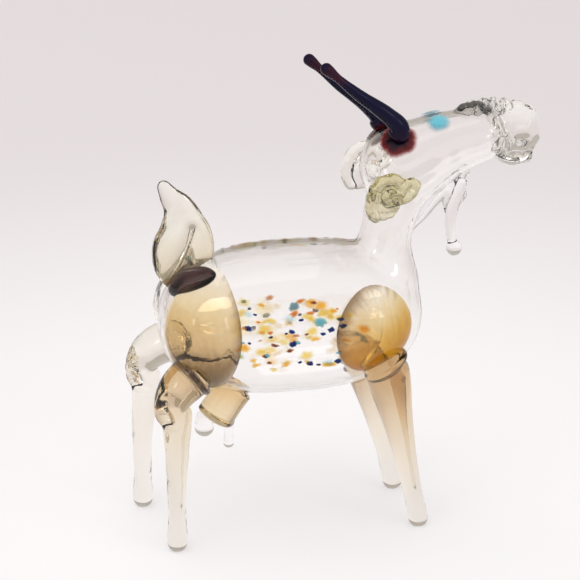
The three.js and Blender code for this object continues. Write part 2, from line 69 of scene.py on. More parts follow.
STREAKS = (5, 5, 0.8)


class Pull:
    """The smooth line that soft glass was pulled along, measured by share of its length."""

    def __init__(self, *places, steps=24):
        ways = [(b - a).normalized() for a, b in itertools.pairwise(places)]
        leads = [ways[0], *[(a + b).normalized() for a, b in itertools.pairwise(ways)], ways[-1]]
        self.points = []
        for i, (start, end) in enumerate(itertools.pairwise(places)):
            third = (end - start).length / 3
            knots = start, start + leads[i] * third, end - leads[i + 1] * third, end
            self.points += interpolate_bezier(*knots, steps)[:-1]
        self.points.append(places[-1].copy())
        lengths = [(b - a).length for a, b in itertools.pairwise(self.points)]
        self.reach = [0, *itertools.accumulate(lengths)]
        self.length = self.reach[-1]

    def at(self, share):
        """The place at a share of the length, and the direction of the pull there."""
        goal = share * self.length
        i = min(max(bisect.bisect_right(self.reach, goal), 1), len(self.points) - 1)
        a, b = self.points[i - 1], self.points[i]
        step = (goal - self.reach[i - 1]) / (self.reach[i] - self.reach[i - 1])
        way = (b - a).normalized()
        before = (a - self.points[i - 2]).normalized() if i > 1 else way
        after = (self.points[i + 1] - b).normalized() if i + 1 < len(self.points) else way
        along = (before + way).lerp(way + after, step).normalized()
        return a.lerp(b, step), along


def width_at(widths, share):
    """The width at a share of the length, on a smooth curve through evenly spaced widths."""
    place = share * (len(widths) - 1)
    i = min(int(place), len(widths) - 2)
    t = place - i
    a, b = widths[i], widths[i + 1]
    slope_a = (b - widths[max(i - 1, 0)]) / 2
    slope_b = (widths[min(i + 2, len(widths) - 1)] - a) / 2
    ease = t * t * (3 - 2 * t)
    return a + (b - a) * ease + slope_a * t * (1 - t) ** 2 - slope_b * t * t * (1 - t)


def drawn(pull, widths, flat=1.0, blunt=1.0, sides=36, rings=72):
    """Glass drawn out along a pull, closed and round at both ends, with widths in millimetres. Flat is
    its thickness across the goat for a width of 1, and a blunt under 1 makes the ends squarer."""
    form = bmesh.new()
    part = form.verts.layers.float.new("share")
    bmesh.ops.create_uvsphere(form, u_segments=sides, v_segments=rings, radius=1)
    for v in form.verts:
        share = min(max((1 - v.co.z) / 2, 0), 1)
        turn = math.atan2(v.co.y, v.co.x)
        spot, along = pull.at(share)
        over = along.cross(ACROSS).normalized()
        aside = over.cross(along)
        half = width_at(widths, share) * MM / 2
        cap = min(1, min(share, 1 - share) * pull.length / (half * blunt))
        half *= math.sqrt(1 - (1 - cap) ** 2)
        v[part] = share
        v.co = spot + over * half * math.cos(turn) + aside * half * flat * math.sin(turn)
    return form


def blown(low, high, fullness):
    """A blown or pressed lump, fuller at its ends than an ellipsoid, that fills the space between two
    corners."""
    form = bmesh.new()
    bmesh.ops.create_uvsphere(form, u_segments=72, v_segments=48, radius=1)
    bmesh.ops.rotate(form, verts=form.verts, matrix=Matrix.Rotation(math.pi / 2, 3, "Y"))
    for v in form.verts:
        girth = math.hypot(v.co.y, v.co.z)
        swell = girth ** (2 / fullness - 1) if girth > 1e-6 else 0
        v.co = math.copysign(abs(v.co.x) ** (2 / fullness), v.co.x), v.co.y * swell, v.co.z * swell
    bmesh.ops.scale(form, verts=form.verts, vec=(high - low) / 2)
    bmesh.ops.translate(form, verts=form.verts, vec=(high + low) / 2)
    return form


def melted(forms, grain, flow):
    """One skin round forms that ran together in the flame, with the joints between them drawn smooth."""
    mesh = bpy.data.meshes.new("melt")
    together = bmesh.new()
    for form in forms:
        form.to_mesh(mesh)
        together.from_mesh(mesh)
        form.free()
    together.to_mesh(mesh)
    together.free()
    lump = bpy.data.objects.new("melt", mesh)
    bpy.context.scene.collection.objects.link(lump)
    skin = lump.modifiers.new("skin", "REMESH")
    skin.mode = "VOXEL"
    skin.voxel_size = grain
    smooth = lump.modifiers.new("flow", "SMOOTH")
    smooth.factor = 0.5
    smooth.iterations = flow
    bpy.context.view_layer.update()
    result = bmesh.new()
    result.from_object(lump, bpy.context.evaluated_depsgraph_get())
    bpy.data.objects.remove(lump)
    bpy.data.meshes.remove(mesh)
    return result


def flame_glass(
    name,
    tints=((0, (1, 0.998, 0.995)),),
    absorbs=None,
    per_mm=0.0,
    way=UP,
    bends=GLASS_INDEX,
    rim=None,
    rim_share=0.3,
):
    """Fire-polished glass with the faint ripples that the flame leaves. Its tints are colours by how far a
    place is along a way in millimetres. With depth it takes on the colour that it absorbs to. Glass that
    bends light less is soft glass, with streaked tints and a polished skin. The rim of a melted patch may
    have a colour of its own, which is painted shade where it is dark."""
    soft = bends < GLASS_INDEX
    finish = bpy.data.materials.new(name)
    finish.use_nodes = True
    nodes, links = finish.node_tree.nodes, finish.node_tree.links
    surface = nodes["Principled BSDF"]
    surface.inputs["Base Color"].default_value = (*tints[0][1], 1)
    surface.inputs["Transmission Weight"].default_value = 1
    surface.inputs["Roughness"].default_value = 0.012
    surface.inputs["Coat Weight"].default_value = POLISHED_SKIN if soft else 0
    surface.inputs["IOR"].default_value = bends
    place = nodes.new("ShaderNodeTexCoord")
    ripple = nodes.new("ShaderNodeTexNoise")
    ripple.inputs["Scale"].default_value = 260
    ripple.inputs["Detail"].default_value = 1.5
    bump = nodes.new("ShaderNodeBump")
    bump.inputs["Strength"].default_value = 0.05
    bump.inputs["Distance"].default_value = 0.1 * MM
    links.new(place.outputs["Object"], ripple.inputs["Vector"])
    links.new(ripple.outputs["Fac"], bump.inputs["Height"])
    links.new(bump.outputs["Normal"], surface.inputs["Normal"])
    if len(tints) > 1:
        lowest, highest = tints[0][0], tints[-1][0]
        reach = nodes.new("ShaderNodeVectorMath")
        reach.operation = "DOT_PRODUCT"
        reach.inputs[1].default_value = way.normalized()
        drag = nodes.new("ShaderNodeMapping")
        drag.inputs["Scale"].default_value = STREAKS if soft else (1, 1, 1)
        swirl = nodes.new("ShaderNodeTexNoise")
        swirl.inputs["Scale"].default_value = 130
        swirl.inputs["Distortion"].default_value = 0.6
        shift = nodes.new("ShaderNodeMath")
        shift.operation = "MULTIPLY_ADD"
        shift.inputs[1].default_value = 2 * SWIRL
        height = nodes.new("ShaderNodeMapRange")
        height.inputs["From Min"].default_value = lowest * MM + SWIRL
        height.inputs["From Max"].default_value = highest * MM + SWIRL
        ramp = nodes.new("ShaderNodeValToRGB")
        ramp.color_ramp.elements.remove(ramp.color_ramp.elements[1])
        for i, (rise, colour) in enumerate(tints):
            share = (rise - lowest) / (highest - lowest)
            stop = ramp.color_ramp.elements.new(share) if i else ramp.color_ramp.elements[0]
            stop.position = share
            stop.color = (*colour, 1)
        links.new(place.outputs["Object"], reach.inputs[0])
        links.new(place.outputs["Object"], drag.inputs["Vector"])
        links.new(drag.outputs["Vector"], swirl.inputs["Vector"])
        links.new(swirl.outputs["Fac"], shift.inputs[0])
        links.new(reach.outputs["Value"], shift.inputs[2])
        links.new(shift.outputs["Value"], height.inputs["Value"])
        links.new(height.outputs["Result"], ramp.inputs["Fac"])
        links.new(ramp.outputs["Color"], surface.inputs["Base Color"])
    if rim:
        melt = nodes.new("ShaderNodeAttribute")
        melt.attribute_name = "melt"
        edge = nodes.new("ShaderNodeMapRange")
        edge.interpolation_type = "SMOOTHSTEP"
        edge.inputs["From Max"].default_value = rim_share
        blend = nodes.new("ShaderNodeMix")
        blend.data_type = "RGBA"
        blend.inputs["A"].default_value = (*rim, 1)
        links.new(melt.outputs["Fac"], edge.inputs["Value"])
        links.new(edge.outputs["Result"], blend.inputs["Factor"])
        links.new(ramp.outputs["Color"], blend.inputs["B"])
        links.new(blend.outputs["Result"], surface.inputs["Base Color"])
    if absorbs:
        depth = nodes.new("ShaderNodeVolumeAbsorption")
        depth.inputs["Color"].default_value = (*absorbs, 1)
        depth.inputs["Density"].default_value = per_mm / MM
        links.new(depth.outputs["Volume"], nodes["Material Output"].inputs["Volume"])
    return finish


def glass_piece(name, form, finish, slot, *nodes):
    """A finished piece of the goat, riding on its one body and standing for its nodes."""
    mesh = bpy.data.meshes.new(name)
    form.to_mesh(mesh)
    form.free()
    mesh.shade_smooth()
    mesh.materials.append(finish)
    piece = bpy.data.objects.new(name, mesh)
    bpy.context.scene.collection.objects.link(piece)
    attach(piece, "root")
    if nodes:
        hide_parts(*nodes)
    return piece


def on(node, ahead, rise, aside=0.0):
    """A place in millimetres ahead of the rear of a node's box, above its foot and left of its middle."""
    low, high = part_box(node)
    return Vector((low.x + ahead * MM, (low.y + high.y) / 2 + aside * MM, low.z + rise * MM))


barrel_low, barrel_high = (corner.copy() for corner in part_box("body_bubble"))
barrel_high.x += 0.5 * MM
barrel = blown(barrel_low, barrel_high, BARREL_FULLNESS)
skull = on("head_bubble", 9.7, 16.4)
face_end = on("head_bubble", 30.0, 22.6)
face_way = (face_end - skull).normalized()
neck_pull = Pull(on("body_bubble", 47.7, 16.6), on("head_bubble", 5.7, 0), skull)
neck = drawn(neck_pull, (20.6, 16.4, 11.4, 12.4, 14.8))
face_pull = Pull(
    skull - face_way * 9.6 * MM,
    skull,
    skull.lerp(face_end, 0.5) + face_way.cross(ACROSS) * MM,
    face_end + face_way * 2.3 * MM,
)
face = drawn(face_pull, (19.2, 19.0, 15.8, 12.7, 11.4), flat=FACE_FLATNESS)
skin_form = melted([barrel, neck, face], SKIN_GRAIN, SKIN_FLOW)
skin_tree = BVHTree.FromBMesh(skin_form)
skin_glass = flame_glass("blown_clear", absorbs=(0.66, 0.52, 0.30), per_mm=0.03)
skin = glass_piece("blown_skin", skin_form, skin_glass, "clear_glass", "body_bubble", "head_bubble")
wall = skin.modifiers.new("wall", "SOLIDIFY")
wall.thickness = SKIN_WALL
wall.offset = -1


# The haunches and shoulders are gathers of soft amber glass, pressed hot on to the sides of the bubble.
# Each is a solid lens that is fused to the wall, amber below and fading to clear at its top. On the right
# side part of the rim is painted dark, as painted shade, and the foot of the right haunch is painted near
# black, also as painted shade.
FUSED = 0.15 * MM
SIDES = {"right": -1, "left": 1}
AMBER = (0.80, 0.52, 0.02)
SOFT_INDEX = 1.26
SKIN_ROUND = 15 * MM
GATHER_SINK = 1.2
GATHER_STREAKS = 0.5
HAUNCH_WIDTH = 18.4
HAUNCH_HEIGHT = 29.5
HAUNCH_BACK = 3.9 * MM
HAUNCH_LEAN = 0.12
HAUNCH_FADE = 1.2
SHOULDER_WIDTH = {"right": 19.0, "left": 12.4}
SHOULDER_FRONT = {"right": 0.36, "left": 0.45}
SHOULDER_HEIGHT = 20
SHOULDER_FADE = {"right": 1.2, "left": 3.0}
SHOULDER_WAY = Vector((-0.6, 0, 1))
# Painted shade: the side, in degrees round each right gather, where its rim is painted dark.
PAINTED_SHADE_RIM_SIDE = {"haunch": -30, "shoulder": 145}
SORTED_ALONG = Vector((1, 0.37, 0.61))


def melted_patch(
    spot,
    width,
    height,
    rise=0.3,
    lean=0.0,
    uneven=0.0,
    seed=0.0,
    streaks=0.0,
    fade=0.0,
    painted_shade_side=None,
    sides=32,
    rings=16,
):
    """A lens of glass that melted on to the skin round a spot, in millimetres. Its melt is 1 at the middle
    and 0 at the rim, or 0 only at the side of the rim given in degrees, where a dark rim colour is painted
    shade. With a fade it thins out into the skin, most of all at its upper side."""
    spot, normal, *_ = skin_tree.find_nearest(spot)
    level = UP.cross(normal).normalized()
    climb = normal.cross(level)
    form = bmesh.new()
    melt = form.verts.layers.float.new("melt")
    bmesh.ops.create_uvsphere(form, u_segments=sides, v_segments=rings, radius=1)
    for v in form.verts:
        x, y, z = v.co
        out = min(1, math.hypot(x, y))
        turn = math.atan2(y, x)
        round_turn = Vector((math.cos(turn), math.sin(turn), seed * 3.7))
        edge = 1 + uneven * noise.noise(round_turn * 1.6)
        across = out * edge * math.cos(turn) * width * MM / 2
        along = out * edge * math.sin(turn) * height * MM / 2
        aside = across * math.cos(lean) - along * math.sin(lean)
        above = across * math.sin(lean) + along * math.cos(lean)
        near, facing, *_ = skin_tree.find_nearest(
            spot + level * aside + climb * SKIN_ROUND * math.tan(above / SKIN_ROUND)
        )
        # Painted shade: the melt is lowered towards the given side, so that a dark rim colour shows there.
        shade = 1 if painted_shade_side is None else 0.75 + 0.25 * math.cos(turn - math.radians(painted_shade_side))
        v[melt] = (1 - out * shade) * (1 + streaks * noise.noise(round_turn * 9))
        swell = max(z, 0) ** (1 + fade * (0.4 + max(0, math.sin(turn))))
        v.co = near + facing * (swell * rise * MM if z > 0 else z * FUSED)
    return form


def firm(form):
    """A tree of a hard form, for soft ones to be pressed against. Blender orders the faces of a round form
    anew each run, so they are sorted by place, and a tie between two of them always goes the same way."""
    form.faces.sort(key=lambda f: sum(v.co.dot(SORTED_ALONG) for v in f.verts))
    return BVHTree.FromBMesh(form)


def outer_face(form):
    """The face that a gather shows, which later pieces are pressed against."""
    shown = form.copy()
    shown.normal_update()
    hidden = []
    for f in shown.faces:
        _, out, *_ = skin_tree.find_nearest(f.calc_center_median())
        if f.normal.dot(out) < 0:
            hidden.append(f)
    bmesh.ops.delete(shown, geom=hidden, context="FACES")
    tree = firm(shown)
    shown.free()
    return tree


haunch_glass = {
    "right": flame_glass(
        "right_haunch_amber",
        (
            # painted shade: the near-black foot of the right haunch, up to 42.5 mm; above it the amber is
            # the glass's own
            (36, (0.11, 0.07, 0.03)),
            (42.5, (0.30, 0.19, 0.08)),
            (46.5, (0.70, 0.52, 0.28)),
            (53, (0.88, 0.73, 0.45)),
            (57, (0.96, 0.88, 0.70)),
            (62, (1, 0.99, 0.97)),
        ),
        AMBER,
        0.008,
        bends=SOFT_INDEX,
        # painted shade: the dark rim colour of the right haunch
        rim=(0.40, 0.29, 0.18),
    ),
    "left": flame_glass(
        "left_haunch_amber",
        ((36, (0.80, 0.66, 0.42)), (44, (0.94, 0.88, 0.74)), (54, (0.98, 0.96, 0.92))),
        bends=SOFT_INDEX,
        rim=(1, 1, 1),
        rim_share=0.6,
    ),
}
shoulder_glass = {
    "right": flame_glass(
        "right_shoulder_amber",
        (
            (27, (0.36, 0.14, 0.01)),
            (32.5, (0.58, 0.29, 0.02)),
            (35.5, (0.71, 0.44, 0.10)),
            (39, (0.85, 0.67, 0.35)),
            (44, (0.94, 0.88, 0.74)),
        ),
        way=SHOULDER_WAY,
        bends=SOFT_INDEX,
        # painted shade: the dark rim colour of the right shoulder
        rim=(0.36, 0.26, 0.17),
        rim_share=0.4,
    ),
    "left": flame_glass(
        "left_shoulder_amber",
        (
            (34, (0.80, 0.66, 0.44)),
            (41, (0.88, 0.78, 0.62)),
            (48, (0.94, 0.90, 0.83)),
            (54, (0.98, 0.97, 0.94)),
        ),
        bends=SOFT_INDEX,
        rim=(1, 1, 1),
        rim_share=0.6,
    ),
}
haunch_trees = {}
shoulder_trees = {}
for name, side in SIDES.items():
    node = f"{name}_haunch"
    low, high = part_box(node)
    outer = low.y if side < 0 else high.y
    ahead = (low.x + high.x) / 2 - HAUNCH_BACK
    spot, *_ = skin_tree.find_nearest(Vector((ahead, outer, (low.z + high.z) / 2)))
    rise = abs(outer - spot.y) / MM - GATHER_SINK
    form = melted_patch(
        spot,
        HAUNCH_WIDTH,
        HAUNCH_HEIGHT,
        rise,
        lean=-HAUNCH_LEAN * side,
        streaks=GATHER_STREAKS,
        fade=HAUNCH_FADE,
        painted_shade_side=PAINTED_SHADE_RIM_SIDE["haunch"] if side < 0 else None,
        sides=128,
        rings=96,
    )
    haunch_trees[name] = outer_face(form)
    glass_piece(f"{node}_gather", form, haunch_glass[name], "amber_glass", node)

    node = f"{name}_shoulder"
    low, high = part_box(node)
    outer = low.y if side < 0 else high.y
    ahead = high.x - SHOULDER_WIDTH[name] * SHOULDER_FRONT[name] * MM
    spot, *_ = skin_tree.find_nearest(Vector((ahead, outer, (low.z + high.z) / 2)))
    rise = abs(outer - spot.y) / MM - GATHER_SINK
    form = melted_patch(
        spot,
        SHOULDER_WIDTH[name],
        SHOULDER_HEIGHT,
        rise,
        streaks=GATHER_STREAKS,
        fade=SHOULDER_FADE[name],
        painted_shade_side=PAINTED_SHADE_RIM_SIDE["shoulder"] if side < 0 else None,
        sides=128,
        rings=96,
    )
    shoulder_trees[name] = outer_face(form)
    glass_piece(f"{node}_gather", form, shoulder_glass[name], "amber_glass", node)


# The legs are drawn from smoky rod, amber where they were fused on and nearly clear at the foot. The left
# hind leg is the clearest. The thigh ends in a hock with two pressed flats and the shank fused on under
# it, a bead of glass is squeezed out of each joint, and each foot is a flattened ball.
FEET = {mount["name"]: Vector(mount["pos_m"]) for mount in frame["record"]["mounts"]}
FOOT_SINK = 0.34 * MM
ROD_GRAIN = 0.25 * MM
ROD_FLOW = 2
FACET_DEPTH = 2.0 * MM
FACET_WEAR = 0.9 * MM
SMOKE = (0.78, 0.72, 0.5)
hind_glass = {
    "right": flame_glass(
        "right_hind_leg_smoke",
        (
            (4, (0.94, 0.91, 0.86)),
            (20, (0.88, 0.82, 0.71)),
            (30, (0.86, 0.76, 0.60)),
            (40, (0.72, 0.52, 0.28)),
        ),
        SMOKE,
        0.012,
    ),
    "left": flame_glass(
        "left_hind_leg_smoke",
        (
            (4, (0.95, 0.92, 0.88)),
            (20, (0.92, 0.88, 0.81)),
            (30, (0.95, 0.92, 0.86)),
            (40, (0.94, 0.91, 0.84)),
        ),
        SMOKE,
        0.008,
    ),
}
fore_glass = flame_glass(
    "foreleg_smoke",
    (
        (4, (0.94, 0.91, 0.86)),
        (16, (0.90, 0.83, 0.71)),
        (28, (0.78, 0.62, 0.42)),
        (38, (0.58, 0.36, 0.16)),
    ),
    (0.8, 0.68, 0.4),
    0.012,
)


def settle(form, *trees, flow=0.3):
    """Presses a soft form against what is already hard. It sinks in far enough to fuse, and its edge
    flows out in a fillet of about the given millimetres."""
    soft = flow * MM
    for tree in trees:
        form.normal_update()
        for v in form.verts:
            near, normal, *_ = tree.find_nearest(v.co)
            depth = (v.co - near).dot(normal)
            press = (depth + FUSED) / soft
            if v.normal.dot(normal) < 0:
                v.co += normal * (max(depth, -FUSED) - depth)
            elif press < 8:
                rise = soft * math.log1p(math.exp(press)) - FUSED
                v.co = near + normal * rise if depth < soft else v.co + normal * (rise - depth)
    return form


def standing(form):
    """Flattens what would be under the bench."""
    for v in form.verts:
        v.co.z = max(v.co.z, 0)
    return form


def bead(centre, axis, width, thickness):
    """The ring of glass that squeezed out of a joint."""
    form = bmesh.new()
    bmesh.ops.create_circle(form, segments=16, radius=thickness * MM / 2)
    bmesh.ops.rotate(form, verts=form.verts, matrix=Matrix.Rotation(math.pi / 2, 3, "X"))
    bmesh.ops.translate(form, verts=form.verts, vec=(width * MM / 2, 0, 0))
    ring = form.verts[:] + form.edges[:]
    bmesh.ops.spin(form, geom=ring, axis=UP, angle=math.tau, steps=64, use_merge=True)
    bmesh.ops.rotate(form, verts=form.verts, matrix=UP.rotation_difference(axis).to_matrix())
    bmesh.ops.translate(form, verts=form.verts, vec=centre)
    bmesh.ops.recalc_face_normals(form, faces=form.faces)
    return form


for name, side in SIDES.items():
    node = f"{name}_hind_leg"
    foot = FEET[f"{name}_hind_foot"]
    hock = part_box(node)[0].x
    hock_y = foot.y - side * 0.6 * MM
    thigh_top = Vector((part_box(f"{name}_haunch")[0].x + 7.2 * MM, hock_y - side * 1.5 * MM, 41.2 * MM))
    thigh_bend = Vector((hock + 5.8 * MM, hock_y, 36.8 * MM))
    thigh_end = Vector((hock + 1.9 * MM, hock_y, 28.8 * MM))
    shank_top = Vector((hock + 5.4 * MM, hock_y, 34.2 * MM))
    shank_mid = Vector((foot.x + 0.3 * MM, hock_y, 19 * MM))
    thigh = drawn(Pull(thigh_top, thigh_bend, thigh_end), (9.0, 9.2, 8.4, 6.6, 4.4))
    shank = drawn(
        Pull(shank_top, shank_mid, foot - UP * FOOT_SINK),
        (6.6, 6.4, 5.9, 5.2, 4.7, 4.3, 4.0, 3.9, 4.4, 4.4),
        rings=96,
    )
    seam = bead(thigh_top.lerp(thigh_bend, 0.45), thigh_top - thigh_bend, 8.6, 1.6)
    form = melted([thigh, shank, seam], ROD_GRAIN, ROD_FLOW)
    for face_side in SIDES.values():
        facet = Vector((-0.5, face_side * 0.85, -0.2)).normalized()
        facet_spot = thigh_bend.lerp(thigh_end, 0.5) + facet * FACET_DEPTH
        for v in form.verts:
            above = (v.co - facet_spot).dot(facet)
            if above > 0 and v.co.z > thigh_end.z - 0.5 * MM:
                v.co -= facet * above
        worn = [v for v in form.verts if abs((v.co - facet_spot).dot(facet)) < FACET_WEAR]
        for _ in range(24):
            bmesh.ops.smooth_vert(
                form,
                verts=worn,
                factor=0.5,
                use_axis_x=True,
                use_axis_y=True,
                use_axis_z=True,
            )
    form = settle(standing(form), haunch_trees[name], skin_tree)
    glass_piece(f"{node}_rod", form, hind_glass[name], "smoke_glass", node)

    node = f"{name}_foreleg"
    foot = FEET[f"{name}_fore_foot"]
    low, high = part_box(node)
    top = Vector((low.x + 4.1 * MM, foot.y - side * 0.2 * MM, high.z + 0.5 * MM))
    lean = (top - foot).normalized()
    seam_spot = top - lean * 2.6 * MM
    hits = [tree.ray_cast(foot, lean)[0] for tree in (shoulder_trees[name], skin_tree)]
    reach = min((hit - foot).length for hit in hits if hit)
    top = foot + lean * max((top - foot).length, reach + 1.5 * MM)
    rod = drawn(
        Pull(top, top.lerp(foot, 0.5), foot - UP * FOOT_SINK),
        (9.2, 9.6, 8.9, 7.6, 6.5, 5.6, 4.9, 4.4, 4.1, 4.4, 4.4),
        rings=96,
    )
    seam_way = (lean + Vector((-0.42, 0, 0))).normalized()
    collar = bead(seam_spot, seam_way, 9.0, 1.5)
    form = standing(melted([rod, collar], ROD_GRAIN, ROD_FLOW))
    form = settle(form, shoulder_trees[name], skin_tree)
    glass_piece(f"{node}_rod", form, fore_glass, "smoke_glass", node)


# The tail is a leaf of smoky rod, flattened in the tongs and pulled to a tip that bends back. A crease
# pressed into both faces parts it into two lobes. A lens of dark brown glass on the rump at its root is
# painted shade, and the tail is painted darker towards its root as the same shade.
CREASE_DEPTH = 1.5 * MM
CREASE_WIDTH = 1.0 * MM
tail_pull = Pull(
    on("tail", 5.7, -2.2),
    on("tail", 5.6, 4.7),
    on("tail", 5.8, 11.9),
    on("tail", 4.8, 16.3),
    on("tail", 2.9, 19.2),
    on("tail", 1.2, 22.3),
)
tail_form = drawn(
    tail_pull,
    (10.4, 11.4, 12.7, 13.1, 11.8, 8.8, 6.3, 4.0, 2.3),
    flat=0.34,
    sides=128,
    rings=128,
)
crease = Pull(on("tail", 7.6, 11.2), on("tail", 6.5, 7.7), on("tail", 4.8, 4.0), on("tail", 1.5, -1.3))
tail_middle = on("tail", 0, 0).y
for v in tail_form.verts:
    gap = min(math.hypot(v.co.x - p.x, v.co.z - p.z) for p in crease.points[::3])
    half = v.co.y - tail_middle
    sink = min(CREASE_DEPTH * math.exp(-((gap / CREASE_WIDTH) ** 2)), abs(half) * 0.8)
    v.co.y -= math.copysign(sink, half)
tail_form = settle(tail_form, skin_tree)
tail_glass = flame_glass(
    "tail_smoke",
    (
        # painted shade: the tail is darker at its root, up to 66 mm
        (60, (0.12, 0.06, 0.03)),
        (66, (0.22, 0.13, 0.06)),
        (67.5, (0.88, 0.80, 0.60)),
        (76, (0.91, 0.88, 0.79)),
        (86, (0.94, 0.92, 0.88)),
    ),
    SMOKE,
    0.01,
    Vector((-0.35, 0, 1)),
)
glass_piece("tail_leaf", tail_form, tail_glass, "smoke_glass", "tail")
# Painted shade: a dark lens on the rump at the tail's root, where there is only shade.
root_form = melted_patch(on("tail", 6.2, 1.8, -4.6), 11.6, 6.4, 2.2, lean=0.6, sides=64, rings=48)
root_painted_shade = flame_glass("tail_root_painted_shade", ((48, (0.12, 0.06, 0.05)), (60, (0.07, 0.035, 0.04))))
glass_piece("tail_root", root_form, root_painted_shade, "smoke_glass")


# The udder is a short length of amber rod, fused under the belly at a slant and cut off square.
# Two clear drips hang from its end.
udder_root = on("udder", 7.5, 9.8)
udder_end = on("udder", 2.4, 2.2)
udder_slant = (udder_root - udder_end).normalized()
udder_top = skin_tree.find_nearest(udder_root)[0] + udder_slant * 0.8 * MM
udder_form = drawn(
    Pull(udder_top, on("udder", 5.2, 6.4), udder_end),
    (8.0, 8.1, 8.2),
    blunt=0.22,
    sides=64,
)
udder_form = settle(udder_form, skin_tree, *haunch_trees.values())
udder_tree = firm(udder_form)
udder_glass = flame_glass(
    "udder_amber",
    ((22, (0.88, 0.77, 0.56)), (27, (0.87, 0.72, 0.47)), (33, (0.74, 0.46, 0.18))),
    AMBER,
    0.008,
)
glass_piece("udder_pouch", udder_form, udder_glass, "amber_glass", "udder")
clear_glass = flame_glass("clear_glass", absorbs=(0.75, 0.68, 0.55), per_mm=0.02)
TEATS = {"rear_teat": (3.4, 3.8, 4.1, 4.2, 4.2), "front_teat": (2.9, 2.4, 2.0, 2.1, 2.4)}
for node, widths in TEATS.items():
    low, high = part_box(node)
    top = Vector(((low.x + high.x) / 2, 0, high.z + 2.2 * MM))
    end = Vector(((low.x + high.x) / 2, 0, low.z))
    form = drawn(Pull(top, top.lerp(end, 0.5), end), widths)
    glass_piece(f"{node}_drip", settle(form, udder_tree), clear_glass, "smoke_glass", node)


# The muzzle is a solid gather of clear glass on the end of the face. A pinch made the mouth, a point
# pressed in the nostrils, and the glass was drawn back along the bridge of the nose in ribs.
NOSTRIL_SIZE = 1.2 * MM
NOSTRIL_DEPTH = 0.9 * MM


def tooled(form, size, depth):
    """Leaves the marks of the tongs, dents of about the given millimetres across and deep."""
    form.normal_update()
    for v in form.verts:
        v.co += v.normal * noise.noise(v.co / (size * MM)) * depth * MM
    return form


nose_low, nose_high = on("muzzle", 10.0, 2.2, -5.6), on("muzzle", 19.5, 13.6, 5.6)
lip_low, lip_high = on("muzzle", 10.3, 0.1, -4.5), on("muzzle", 18.2, 5.3, 4.5)
bridge_pull = Pull(
    on("muzzle", 15.6, 12.0),
    on("muzzle", 9.6, 12.6),
    on("muzzle", 5.0, 12.5),
    on("muzzle", 0.9, 11.6),
)
bridge_widths = (5.0, 4.2, 3.2, 4.4, 3.2, 4.4, 3.2, 4.2, 3.0, 3.8, 2.8, 3.2, 2.2, 1.4)
muzzle_form = melted(
    [
        blown(nose_low, nose_high, 2.4),
        blown(lip_low, lip_high, 2.5),
        bead(on("muzzle", 10.9, 8.0), face_way, 10.6, 1.3),
        drawn(bridge_pull, bridge_widths, flat=1.5, rings=160),
    ],
    ROD_GRAIN,
    ROD_FLOW,
)
muzzle_form = tooled(muzzle_form, 2.6, 0.5)
for side in SIDES.values():
    nostril = on("muzzle", 14.0, 6.4, side * 5.4)
    for v in muzzle_form.verts:
        gap = (v.co - nostril).length / NOSTRIL_SIZE
        v.co -= v.normal * NOSTRIL_DEPTH * math.exp(-gap * gap)
muzzle_form = settle(muzzle_form, skin_tree)
glass_piece("muzzle_gather", muzzle_form, clear_glass, "clear_glass", "muzzle")


# The horns are rods of violet glass, so dark that they look navy, pulled back to a small ball at the tip.
# Their hot roots spread over the skull and thinned to a burgundy fringe.
NAVY = (0.005, 0.004, 0.026)
DARK_ROOT = (0.018, 0.005, 0.018)
PLUM = (0.045, 0.008, 0.022)
DARK_PLUM = (0.03, 0.007, 0.02)
BURGUNDY = (0.36, 0.03, 0.02)
horn_glass = bpy.data.materials.new("horn_violet")
horn_glass.use_nodes = True
horn_nodes, horn_links = horn_glass.node_tree.nodes, horn_glass.node_tree.links
horn_surface = horn_nodes["Principled BSDF"]
horn_surface.inputs["Roughness"].default_value = 0.03
horn_surface.inputs["IOR"].default_value = 1.22
horn_share = horn_nodes.new("ShaderNodeAttribute")
horn_share.attribute_name = "share"
horn_ramp = horn_nodes.new("ShaderNodeValToRGB")
horn_stops = horn_ramp.color_ramp.elements
horn_stops[0].color = (*DARK_ROOT, 1)
horn_stops[1].color = (*NAVY, 1)
horn_stops.new(0.16).color = (*NAVY, 1)
horn_stops.new(0.72).color = (*NAVY, 1)
horn_stops.new(0.84).color = (*PLUM, 1)
horn_stops.new(0.93).color = (*DARK_PLUM, 1)
horn_links.new(horn_share.outputs["Fac"], horn_ramp.inputs["Fac"])
horn_links.new(horn_ramp.outputs["Color"], horn_surface.inputs["Base Color"])


